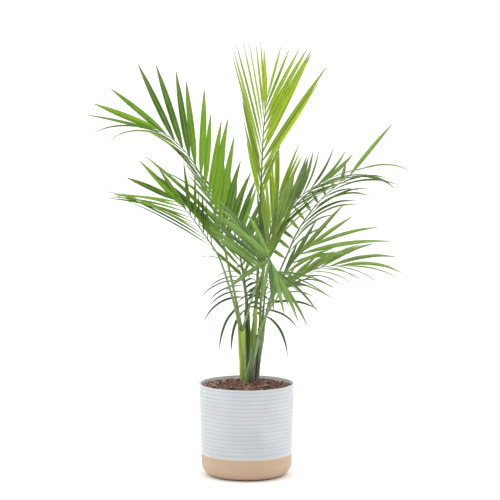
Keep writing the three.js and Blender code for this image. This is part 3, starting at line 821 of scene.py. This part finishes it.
class Growth:
    """The corners, faces and stored values of one frond as it is put together."""

    def __init__(self):
        self.places, self.faces, self.leaf, self.finishes = [], [], [], []

    def sheet(self, rows, values, finish):
        """A closed skin over rows of corners that each go once round the piece."""
        start, count = len(self.places), len(rows[0])
        for row, row_values in zip(rows, values):
            self.places += row
            self.leaf += row_values
        self.faces += [tuple(start + corner for corner in face) for face in round_skin(len(rows), count)]
        self.faces.append(tuple(range(start + count - 1, start - 1, -1)))
        end = start + (len(rows) - 1) * count
        self.faces.append(tuple(range(end, end + count)))
        self.finishes += [finish] * (len(self.faces) - len(self.finishes))


def add_stalk(growth, line, frond):
    """The stalk: flat and channelled above, round beneath, clasping its stem at the foot."""
    rows, values = [], []
    for ring in range(stalk_rings + 1):
        share = ring / stalk_rings
        ahead = line.ahead(share)
        faces = Vector(frond["faces"][0]).lerp(Vector(frond["faces"][1]), share)
        side = ahead.cross(faces).normalized()
        up = side.cross(ahead)
        radius = stalk_radius(share) * (1 + stalk_flare * (1 - ease(share, 0.02, 0.14)))
        closes = 1 - 0.9 * ease(share, 0.985, 1.0)
        row = []
        for angle in circle(stalk_sides):
            x, y = math.cos(angle), math.sin(angle)
            y = y if y < 0 else y * 0.55 - channel_depth * (1 - abs(x)) ** 1.5
            row.append(line.at(share) + (side * x + up * y) * radius * closes)
        rows.append(row)
        values.append([(k / stalk_sides, share, 0.0) for k in range(stalk_sides)])
    growth.sheet(rows, values, 1)


def add_leaflet(growth, line, width, tone, chance):
    """A thin folded blade that narrows to a thread, with its edges gently waved."""
    marks = leaflet_places
    spots, ups = [spot for spot, _ in line], [up for _, up in line]
    length = sum((b - a).length for a, b in zip(spots, spots[1:]))
    wave = chance.uniform(0, 2 * math.pi)
    bow = chance.uniform(-1, 1) * 0.006 * length
    rows, values = [], []
    for step in range(blade_steps + 1):
        share = step / blade_steps
        spot = through(marks, spots, share)
        behind, before = (through(marks, spots, min(max(share + d, 0), 1)) for d in (-0.01, 0.01))
        ahead = (before - behind).normalized()
        up = through(marks, ups, share)
        up = (up - ahead * up.dot(ahead)).normalized()
        across = ahead.cross(up)
        spot = spot + across * bow * math.sin(math.pi * share)
        half = max(width / 2 * through(marks, blade_widths, share), thread_width)
        fold = fold_height * half * (0.5 + ease(share, 0.0, 0.3))
        thick = blade_thickness * (0.35 + 0.65 * (1 - share))
        upper, lower, upper_values, lower_values = [], [], [], []
        for a in blade_across:
            flutter = 0.05 * half * abs(a) * math.sin(wave + 9 * share + (2.2 if a > 0 else 0))
            pleat = 0.03 * half * math.cos(3 * math.pi * a)
            rise = fold * (1 - abs(a) ** 1.2) + flutter + pleat
            thin = thick * (1 - 0.6 * abs(a)) / 2 + (0.25 * MM * (1 - share) if a == 0 else 0)
            upper.append(spot + across * half * a + up * (rise + thin))
            lower.append(spot + across * half * a + up * (rise - thin))
            upper_values.append((a, share, tone))
            lower_values.append((a, share, tone - 2))
        rows.append(upper + lower[::-1])
        values.append(upper_values + lower_values[::-1])
    growth.sheet(rows, values, 0)


def grow_frond(node, frond, slot, finishes):
    """One whole frond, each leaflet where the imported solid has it. One that the solid leaves out is
    left out here too."""
    draw, chance = repeatable(frond["seed"]), np.random.default_rng(frond["seed"])
    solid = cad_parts[node].data
    tips = KDTree(len(solid.vertices))
    for vertex in solid.vertices:
        tips.insert(vertex.co, vertex.index)
    tips.balance()
    line = stalk_line(frond)
    growth = Growth()
    add_stalk(growth, line, frond)
    for i in range(frond["pairs"] - 1, -1, -1):
        for hand, habit in ((-1, frond["left"]), (1, frond["right"])):
            along = min((i + (hand > 0) * hand_stagger) / (frond["pairs"] - 0.5), 1)
            luck = {key: 2 * draw() - 1 for key in ("open", "lift", "length", "roll", "hang")}
            bud = bud_on(line, frond, frond["bare"] + (last_leaflet - frond["bare"]) * along)
            tone = float(chance.uniform(0, 1))
            for turn in leaflet_turns:
                leaflet = leaflet_line(bud, hand, habit, along, luck, turn)
                if tips.find(leaflet[-1][0])[2] < tip_match:
                    break
            else:
                continue
            longest = np.max(habit["length"])
            width = frond["width"] * MM * (0.5 + 0.5 * along_frond(habit["length"], along) / longest)
            add_leaflet(growth, leaflet, width, tone, chance)
    piece = solid_piece(frond["piece"], growth.places, growth.faces)
    store(piece, "leaf", growth.leaf)
    for finish in finishes:
        piece.data.materials.append(finish)
    piece.data.polygons.foreach_set("material_index", growth.finishes)
    fix(piece, slot, node)


def grow_fronds(fronds, slot, finishes):
    for node, frond in fronds.items():
        grow_frond(node, frond, slot, finishes)


def leaf_finish(name, deep, middle, pale, under, glow):
    """A waxy leaf: pleated veins along it, pale edges and midrib, clouds of tone, and a tip that
    has dried to a grey thread."""
    finish = Finish(name, Roughness=0.42, Specular_IOR_Level=0.26)
    stored = finish.add("Attribute", attribute_name="leaf", out=1)
    split = finish.add("SeparateXYZ", stored)
    across, along, tone = (split.node.outputs[i] for i in range(3))
    below = finish.between(tone, -0.6, -0.4, 1.0, 0.0)
    own = finish.sum("FRACT", finish.plus(tone, 4.0))
    where = finish.place()
    vein_place = finish.add(
        "CombineXYZ", finish.times(across, 4.5), finish.times(along, 1.6), tone
    )
    veins = finish.speckle(vein_place, 1.6, 3.0, 0.65)
    cloud = finish.speckle(where, 22, 3.0)
    depth = finish.plus(finish.times(own, 0.75), finish.times(cloud, 0.4))
    body = finish.blend(finish.between(depth, 0.2, 0.85), paint(deep), paint(middle))
    body = finish.blend(finish.between(veins, 0.46, 0.7, 0.0, 0.75), body, paint(pale))
    side = finish.sum("ABSOLUTE", across)
    midrib = finish.between(side, 0.03, 0.14, 0.55, 0.0)
    margin = finish.between(side, 0.78, 1.0, 0.0, 0.6)
    body = finish.blend(finish.sum("MAXIMUM", midrib, margin), body, paint(pale))
    body = finish.blend(finish.times(below, 0.6), body, paint(under))
    rough_tip = finish.plus(along, finish.times(finish.speckle(where, 60), 0.12))
    body = finish.blend(finish.between(along, 0.5, 1.0, 0.0, 0.35), body, paint(under))
    dried = finish.between(rough_tip, 0.94, 1.05, 0.0, 0.9)
    body = finish.blend(dried, body, paint(dried_tip))
    finish.wear(body, None, finish.relief(veins, 0.3 * MM, 0.5))
    through_light = finish.tree.nodes.new("ShaderNodeBsdfTranslucent")
    finish.put(through_light.inputs["Color"], finish.blend(0.6, body, paint(glow)))
    mixed = finish.tree.nodes.new("ShaderNodeMixShader")
    mixed.inputs[0].default_value = light_let_through
    finish.put(mixed.inputs[1], finish.shader.outputs[0])
    finish.put(mixed.inputs[2], through_light.outputs[0])
    finish.put(finish.output.inputs[0], mixed.outputs[0])
    return finish.material


def stalk_finish(name, green, shade, scurf):
    """A smooth stalk, streaked along its length, with pale scurf rubbed off in patches."""
    finish = Finish(name, Roughness=0.5, Specular_IOR_Level=0.4)
    stored = finish.add("Attribute", attribute_name="leaf", out=1)
    split = finish.add("SeparateXYZ", stored)
    around, along, _ = (split.node.outputs[i] for i in range(3))
    streak_place = finish.add(
        "CombineXYZ", finish.times(around, 14.0), finish.times(along, 6.0)
    )
    streaks = finish.speckle(streak_place, 1.5, 4.0, 0.6)
    body = finish.blend(finish.between(streaks, 0.35, 0.65), paint(shade), paint(green))
    patches = finish.between(finish.speckle(finish.place(), 120, 4.0), 0.56, 0.7, 0.0, 0.5)
    body = finish.blend(patches, body, paint(scurf))
    return finish.wear(body, None, finish.relief(streaks, 0.3 * MM, 0.6))


young_finishes = (
    leaf_finish(
        "young_leaf", (122, 158, 0), (184, 214, 8), (206, 216, 132), (176, 198, 96), (220, 240, 20),
    ),
    stalk_finish("young_stalk", (100, 122, 44), (64, 84, 30), (140, 152, 98)),
)
young_fronds = {
    "frond_spire": dict(
        seed=101, piece="spire_frond", stem="middle", leaves=-60,
        path=[
            [28, 34, 502], [33, 42, 622], [37, 50, 728], [41, 56, 834], [46, 62, 926], [54, 68, 1000],
        ],
        faces=[[0.1, -1, 0.1], [0.2, -1, 0.15]],
        bare=0.53, pairs=12, width=14,
        left=dict(
            length=[161, 187, 221, 281, 282, 297, 298, 215, 245, 227, 162, 119],
            open=[10, 12, 12, 15, 20, 17, 15, 17, 11, 11, 11, 11],
            lift=8,
            roll=[-40, -46, -54, -62, -64, -62, -20],
            hang=0.02,
        ),
        right=dict(
            length=[133, 79, 166, 248, 335, 260, 256, 238, 262, 202, 171, 129],
            open=[17, 21, 18, 28, 32, 24, 25, 24, 26, 20, 16, 7],
            lift=8,
            roll=[-50, -50, -44, -44, -24, -20, -30, -40, -54, -58],
            hang=0.03,
        ),
    ),
    "frond_back": dict(
        seed=102, piece="back_frond", stem="middle", leaves=60,
        path=[[48, 84, 558], [68, 108, 655], [86, 130, 738]],
        faces=[[0, -1, 0.3], [0, -1, 0.4]],
        bare=0.37, pairs=10, width=12,
        left=dict(
            length=[150, 175, 140],
            open=[15, 17, 9],
            lift=5, roll=-52, hang=0.01,
        ),
        right=dict(
            length=[150, 175, 140],
            open=[15, 17, 9],
            lift=5, roll=-45, hang=0.01,
        ),
    ),
}
grow_fronds(young_fronds, "young_leaf", young_finishes)

# ------------------------------------------------------------------------------- left fronds
# Two full-grown fronds arch out to the left from the left stem, one above the other. Their
# leaflets are firm, waxy and mid green, paler beneath, and fold up like a low roof.

grown_finishes = (
    leaf_finish(
        "grown_leaf", (44, 92, 0), (126, 176, 6), (184, 202, 124), (156, 178, 100), (184, 224, 10),
    ),
    stalk_finish("grown_stalk", (138, 162, 92), (92, 116, 56), (180, 190, 152)),
)
left_fronds = {
    "frond_left_high": dict(
        seed=103, piece="high_left_frond", stem="left", leaves=100,
        path=[
            [-24, 24, 442], [-41, 22, 523], [-62, 18, 616], [-89, 10, 710], [-115, 4, 785],
            [-146, -4, 841], [-188, -14, 889], [-237, -24, 923],
        ],
        faces=[[0.3, -0.85, 0.3], [0.25, -0.85, 0.45]],
        bare=0.38, pairs=14, width=16,
        left=dict(
            length=[225, 250, 270, 249, 163, 135, 130, 130, 137, 144, 180, 230, 236, 227],
            open=[24, 28, 30, 30, 22, 12, 11, 11, 11, 10, 10, 11, 15, 23],
            lift=5,
            roll=[-20, -20, -30, -50, -78, -80, -80, -80, -80, -80, -80, -80, -60, -34],
            hang=[0.05, 0.05, 0.06, 0.08, 0.3, 0.09, 0.09, 0.1, 0.1, 0.1, 0.28, 0.7, 0.1, 0],
        ),
        right=dict(
            length=[241, 199, 252, 221, 242, 187, 159, 246, 234, 240, 255, 203, 181, 202],
            open=[29, 33, 27, 24, 26, 29, 26, 30, 27, 32, 29, 28, 3, -13],
            lift=6,
            roll=[-30, -18],
            hang=[0.2, 0.03, 0.03, 0.03],
        ),
    ),
    "frond_left_low": dict(
        seed=104, piece="low_left_frond", stem="left", leaves=220,
        path=[
            [-30, 4, 445], [-47, -4, 507], [-73, -14, 583], [-104, -24, 634], [-138, -36, 683],
            [-166, -48, 719], [-189, -56, 740],
        ],
        faces=[[0.4, -0.8, 0.4], [0.35, -0.75, 0.55]],
        bare=0.6, pairs=9, width=13,
        left=dict(
            length=[290, 300, 275, 240, 180],
            open=[22, 26, 30, 34, 26],
            lift=4,
            roll=[-62, -62, -60, -50, -30],
            hang=[0.08, 0.08, 0.08, 0.1],
        ),
        right=dict(
            length=[94, 100, 105, 99, 107, 167, 141, 143, 148],
            open=[30, 34, 36, 38, 40, 32, 10, -1, -13],
            lift=4,
            roll=[-100, -100, -100, -100, -95, -90, -80, -30, -25],
            hang=0.04,
        ),
    ),
}
grow_fronds(left_fronds, "leaf", grown_finishes)

# ------------------------------------------------------------------------------- right fronds
# Four full-grown fronds reach out to the right. The two upper ones rise from the right stem and
# bend over, and the two lower ones spread nearly level from the front stem.

spreading_finishes = (
    leaf_finish(
        "spreading_leaf", (56, 96, 18), (136, 172, 58), (200, 212, 172), (168, 182, 134), (192, 218, 66),
    ),
    grown_finishes[1],
)
right_fronds = {
    "frond_right_high": dict(
        seed=105, piece="high_right_frond", stem="right", leaves=220,
        path=[
            [38, 44, 461], [46, 42, 541], [57, 38, 601], [86, 34, 665], [115, 30, 708],
            [147, 25, 743], [183, 20, 768], [222, 16, 790],
        ],
        faces=[[-0.4, -0.8, 0.3], [-0.3, -0.85, 0.45]],
        bare=0.36, pairs=14, width=12,
        left=dict(
            length=[120, 140, 150, 150, 150, 150, 150, 150, 140, 150, 130, 150, 90, 90],
            open=[20, 24, 26, 28, 20, 14, 14, 14, 14, 22, 26, 16, 4, 22],
            lift=6,
            roll=[-30, -40, -60, -60, -50, -36, -36, -36, -60, -88, -92, -92, -60, -40],
            hang=[-0.1, -0.1, -0.1, -0.1, -0.1, -0.1, -0.1, -0.2, -0.3, -0.4, -0.4, -0.4, -0.1, -0.1],
        ),
        right=dict(
            length=[180, 170, 110],
            open=[15, 12, 9],
            lift=4, roll=-60, hang=0.12,
        ),
    ),
    "frond_right_arching": dict(
        seed=106, piece="arching_right_frond", stem="right", leaves=-20,
        path=[
            [60, 60, 453], [81, 68, 517], [108, 70, 579], [132, 68, 635], [164, 66, 686],
            [201, 60, 732], [243, 54, 770], [288, 46, 806],
        ],
        faces=[[-0.5, -0.7, 0.5], [-0.4, -0.7, 0.6]],
        bare=0.42, pairs=11, width=14,
        left=dict(
            length=[80, 76, 74, 70, 60, 49, 36, 30, 22, 80, 292],
            open=[84, 83, 82, 80, 78, 76, 74, 68, 62, 34, 4],
            lift=4, roll=-15, hang=0.02,
        ),
        right=dict(
            length=[138, 150, 180, 190, 191, 188, 97, 222, 134, 143, 151],
            open=[18, 17, 15, 15, 12, 19, 16, 19, 3, 26, 18],
            lift=-2, roll=-40, hang=0.38,
        ),
    ),
    "frond_right_middle": dict(
        seed=107, piece="middle_right_frond", stem="front", leaves=60,
        path=[
            [50, -6, 425], [67, -12, 468], [91, -18, 517], [114, -26, 560], [140, -36, 593],
            [166, -46, 615],
        ],
        faces=[[-0.3, -0.6, 0.7], [-0.2, -0.5, 0.85]],
        bare=0.42, pairs=6, width=10.5,
        left=dict(
            length=[60, 70, 100, 180, 181, 129],
            open=[8, 8, 8, 6, 3, -2],
            lift=4,
            roll=[-62, -62, -62, -50, -45, -50],
            hang=0.04,
        ),
        right=dict(
            length=[134, 143, 165, 209, 321, 207],
            open=[39, 39, 35, 42, 37, 21],
            lift=0,
            roll=[-50, 40, 60],
            hang=0.1,
        ),
    ),
    "frond_right_low": dict(
        seed=108, piece="low_right_frond", stem="front", leaves=-120,
        path=[
            [44, -30, 414], [67, -44, 460], [98, -62, 503], [137, -84, 538], [178, -106, 562],
            [217, -124, 572], [254, -142, 574],
        ],
        faces=[[-0.3, -0.3, 0.85], [-0.1, -0.35, 0.9]],
        bare=0.38, pairs=9, width=9,
        left=dict(
            length=[100, 105, 136, 146, 138, 156, 174, 187, 129],
            open=[15, 12, 14, 24, 12, 23, 53, 9, 38],
            lift=6,
            roll=[-66, -66, -50],
            hang=[0.1, 0.16, 0.3],
        ),
        right=dict(
            length=[154, 160, 170, 181, 188, 188, 106, 159, 162],
            open=[36, 34, 31, 29, 26, 21, 18, 8, -6],
            lift=-10, roll=-42, hang=0.24,
        ),
    ),
}
grow_fronds(right_fronds, "leaf", spreading_finishes)

# ------------------------------------------------------------------------------- facing frond
# One frond of the left stem bends over towards the looker, so that its broad leaflets fan out
# round its end: the upper ones spread like a hand, and the lower ones hang.

facing_finishes = (
    leaf_finish(
        "facing_leaf", (42, 88, 18), (130, 170, 68), (190, 210, 158), (162, 184, 126), (192, 220, 78),
    ),
    grown_finishes[1],
)
facing_fronds = {
    "frond_facing": dict(
        seed=109, piece="facing_frond", stem="left", leaves=-20,
        path=[
            [0, 4, 418], [12, -14, 462], [27, -34, 508], [43, -66, 552], [53, -108, 584],
            [58, -150, 600], [60, -190, 596],
        ],
        faces=[[0.5, -0.5, 0.7], [0.6, -0.2, 0.75]],
        bare=0.55, pairs=10, width=12,
        left=dict(
            length=[234, 220, 208, 223, 229, 214, 164, 175, 154, 84],
            open=[59, 55, 61, 65, 74, 63, 53, 48, 42, 42],
            lift=[34, 31, 17, 2, -21, -22, -34, -40, -52, -89],
            roll=[-50, -62, -66],
            hang=0.2,
        ),
        right=dict(
            length=[135, 156, 163, 193, 192, 221, 246, 169, 163, 173],
            open=[89, 78, 83, 75, 72, 60, 48, 71, 132, 51],
            lift=[-21, -14, -16, -13, -11, -3, 5, 21, 25, -61],
            roll=[-95, -95, -92, -90, -85, -85, -82, -74, -52, -30],
            hang=0.1,
        ),
    ),
}
grow_fronds(facing_fronds, "leaf", facing_finishes)

# ------------------------------------------------------------------------------- shaded fronds
# Three older fronds lean away behind the others. Two are short, with narrow, grey-green leaflets that
# droop in long arcs, painted dark as shade. One stands higher, half in the light, behind the left
# fronds, its greens painted a little darker as half shade.

# Painted shade: the shaded leaf's dark greens, and the half-lit leaf's greens a little darker than the
# grown leaf's.
shaded_finishes = (
    leaf_finish(
        "shaded_leaf", (40, 66, 20), (74, 106, 40), (116, 140, 84), (96, 112, 78), (120, 156, 50),
    ),
    stalk_finish("shaded_stalk", (118, 138, 88), (78, 96, 54), (160, 168, 138)),
)
half_lit_finishes = (
    leaf_finish(
        "half_lit_leaf", (42, 86, 0), (112, 162, 18), (164, 188, 110), (152, 170, 114), (172, 214, 24),
    ),
    shaded_finishes[1],
)
high_leaflets = dict(length=[170, 190, 150], open=[34, 30, 14], lift=4, roll=-25, hang=0.06)
shaded_fronds = {
    "frond_behind_left": dict(
        seed=110, piece="drooping_left_frond", stem="back", leaves=200,
        path=[[-2, 56, 464], [-8, 74, 500], [-16, 100, 526], [-26, 126, 538]],
        faces=[[0.2, -0.6, 0.75], [0.2, -0.4, 0.9]],
        bare=0.17, pairs=9, width=8,
        left=dict(
            length=[142, 154, 135, 104, 105, 122, 88, 81, 238],
            open=[119, 106, 74, 76, 79, 76, 76, 45, 0],
            lift=[-35, -33, -21, -11, -12, -11, -12, 0, 18],
            roll=-20,
            hang=[1.8, 1.2, 0.7, 0.5, 0.7, 0.5, 0.4, 0.6, 0.05],
        ),
        right=dict(
            length=[70, 110, 90, 120, 100],
            open=[44, 52, 40, 46, 30],
            lift=[-20, -4, -16, -8],
            roll=-20,
            hang=[1.2, 0.6, 1, 0.5, 0.4],
        ),
    ),
    "frond_behind_right": dict(
        seed=111, piece="drooping_right_frond", stem="right", leaves=100,
        path=[[42, 68, 402], [46, 84, 440], [50, 104, 472], [57, 128, 492], [66, 152, 500]],
        faces=[[-0.2, -0.6, 0.75], [-0.2, -0.4, 0.9]],
        bare=0.3, pairs=9, width=8,
        left=dict(
            length=[80, 120, 90, 120, 100],
            open=[40, 52, 44, 48, 30],
            lift=[-16, -4, -16, -8],
            roll=-20,
            hang=[1.2, 0.6, 1, 0.5, 0.4],
        ),
        right=dict(
            length=[172, 87, 164, 166, 148, 120, 120, 110, 100],
            open=[108, 93, 71, 70, 52, 50, 50, 50, 50],
            lift=[-35, -27, -16, -17, -16, -16, -12, -12, -10],
            roll=-20,
            hang=[1.6, 0.6, 0.35, 0.2, 0.3, 0.4, 0.4, 0.4, 0.3],
        ),
    ),
    "frond_behind_high": dict(
        seed=112, piece="high_shaded_frond", stem="back", leaves=100,
        path=[[-6, 94, 504], [-20, 136, 580], [-42, 184, 656], [-66, 232, 712]],
        faces=[[0.2, -0.8, 0.5], [0.3, -0.7, 0.6]],
        bare=0.329, pairs=11, width=13,
        left=high_leaflets, right=high_leaflets,
    ),
}
for node, frond in shaded_fronds.items():
    finishes = half_lit_finishes if node == "frond_behind_high" else shaded_finishes
    grow_frond(node, frond, "shaded_leaf", finishes)

# ------------------------------------------------------------------------------- stage
# The plant stands on a plain white floor in an even, bright studio: a white surround that is dimmer
# in front, two tall softboxes at its sides and one above.

front_light, side_light, sky_light = 0.28, 1.0, 0.75
seen_white = 1.2
floor_white = (253, 253, 253)
floor_radius = 30.0
floor_drop = 0.5 * MM
floor_sides = 96
floor_rim = []
for angle in circle(floor_sides):
    floor_rim.append((floor_radius * math.cos(angle), floor_radius * math.sin(angle), -floor_drop))
floor = solid_piece("floor", floor_rim, [tuple(range(floor_sides))])
floor_finish = Finish("floor_paper", Roughness=0.9, Base_Color=paint(floor_white))
floor.data.materials.append(floor_finish.material)


class Surround(Finish):
    """The white studio all round, put together node by node."""

    def __init__(self, name):
        self.world = bpy.data.worlds.new(name)
        self.world.use_nodes = True
        self.tree = self.world.node_tree
        self.shader = self.tree.nodes["Background"]


surround = Surround("white_studio")
way = surround.add("SeparateXYZ", surround.add("TexCoord", out="Generated"))
around = surround.between(way.node.outputs[1], -1.0, 0.1, front_light, side_light)
above = surround.between(way.node.outputs[2], 0.1, 1.0, 0.0, sky_light)
seen = surround.add("LightPath", out="Is Camera Ray")
lit = surround.add("MapRange", seen, 0.0, 1.0, surround.plus(around, above), seen_white)
surround.put(surround.shader.inputs["Color"], (1, 1, 1, 1))
surround.put(surround.shader.inputs["Strength"], lit)
bpy.context.scene.world = surround.world
bpy.context.scene.view_settings.view_transform = "Standard"


def softbox(name, place, target, size, power):
    light = bpy.data.lights.new(name, "AREA")
    light.shape = "RECTANGLE"
    light.size, light.size_y = size
    light.energy = power
    lamp = bpy.data.objects.new(name, light)
    lamp.location = place
    lamp.rotation_euler = (Vector(target) - Vector(place)).to_track_quat("-Z", "Y").to_euler()
    bpy.context.scene.collection.objects.link(lamp)


tall_box, wide_box = (1.2, 2.4), (2.0, 1.6)
softbox("left_softbox", (-2.6, -0.6, 1.6), (0, 0, 0.6), tall_box, 8)
softbox("right_softbox", (2.6, -0.2, 1.5), (0, 0, 0.6), tall_box, 8)
softbox("top_softbox", (0.2, -0.8, 3.0), (0, 0, 0.5), wide_box, 9)

camera_place = (9 * MM, -6.0, 1.265)
camera_pitch = 6.326
camera_lens = 164.6
camera_film = 36
camera_reach = 100
camera = bpy.data.objects.new("camera", bpy.data.cameras.new("camera"))
camera.location = camera_place
camera.rotation_euler = (math.radians(90 - camera_pitch), 0, 0)
camera.data.lens = camera_lens
camera.data.sensor_width = camera_film
camera.data.clip_end = camera_reach
bpy.context.scene.collection.objects.link(camera)
bpy.context.scene.camera = camera
